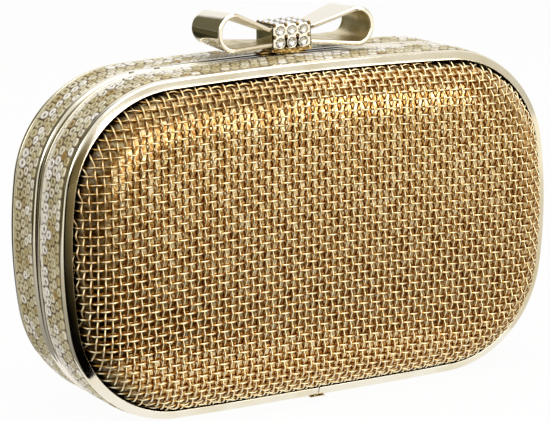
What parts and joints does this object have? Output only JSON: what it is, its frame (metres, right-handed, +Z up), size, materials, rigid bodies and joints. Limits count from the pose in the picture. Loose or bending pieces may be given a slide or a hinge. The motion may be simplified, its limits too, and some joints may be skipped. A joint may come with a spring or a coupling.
{
  "type": "minaudiere",
  "caption": "Rounded-oval hard-case minaudiere with scaly leather bands, polished rims, woven wire faces and a crystal-set bow clasp.",
  "frame": {"origin": "bottom centre of the standing case, on the seam plane between its halves", "axes": "+X to the right along the case's width, +Y to the rear half, +Z up to the bow"},
  "size_m": [0.19, 0.0628, 0.1337],
  "materials": {
    "polished_rim": "polished pale champagne-gold plate",
    "case_metal": "pressed gold-plated sheet",
    "bow_metal": "mirror-polished outside, brushed inside",
    "pressed_leather": "pearly pale gold, pressed with ring scales",
    "woven_wire": "bright gold wire, plain weave",
    "amber_panel": "glossy amber, mirror-like",
    "lining": "black satin over thin card",
    "steel": "hard drawn wire and pins",
    "crystal": "clear cut crystal"
  },
  "bodies": {
    "rear_half": {"rear_shell": "case_metal", "rear_band": "pressed_leather", "rear_seam_rim": "polished_rim", "rear_face_rim": "polished_rim", "rear_rim_clip": "case_metal", "rear_panel": "amber_panel", "rear_mesh": "woven_wire", "rear_lining_wall": "lining", "rear_lining_floor": "lining", "rear_hinge_leaf": "case_metal", "hinge_pin": "steel", "rear_hinge_rivets": "case_metal", "clasp_base": "case_metal", "clasp_base_rivets": "case_metal", "clasp_pin": "steel", "clasp_spring": "steel"},
    "front_half": {"front_shell": "case_metal", "front_band": "pressed_leather", "front_seam_rim": "polished_rim", "front_face_rim": "polished_rim", "front_rim_clip": "case_metal", "front_panel": "amber_panel", "front_mesh": "woven_wire", "front_lining_wall": "lining", "front_lining_floor": "lining", "front_hinge_leaf": "case_metal", "front_hinge_rivets": "case_metal", "strike": "case_metal"},
    "bow": {"clasp_lever": "case_metal", "clasp_hook": "case_metal", "knot": "bow_metal", "bow_loop_left": "bow_metal", "bow_loop_right": "bow_metal", "front_crystals": "crystal", "top_crystals": "crystal", "rear_crystals": "crystal"}
  },
  "joints": [
    {"name": "lid_hinge", "type": "hinge", "parent": "rear_half", "child": "front_half", "pos_m": [0, 0, 0.001], "axis": [1, 0, 0], "range_deg": [0, 80]},
    {"name": "bow_clasp", "type": "hinge", "parent": "rear_half", "child": "bow", "pos_m": [0, 0.0033, 0.1189], "axis": [-1, 0, 0], "range_deg": [0, 18], "stiffness_Nm_per_rad": 0.02, "springref_deg": -45.84, "deforming": ["clasp_spring"]}
  ]
}
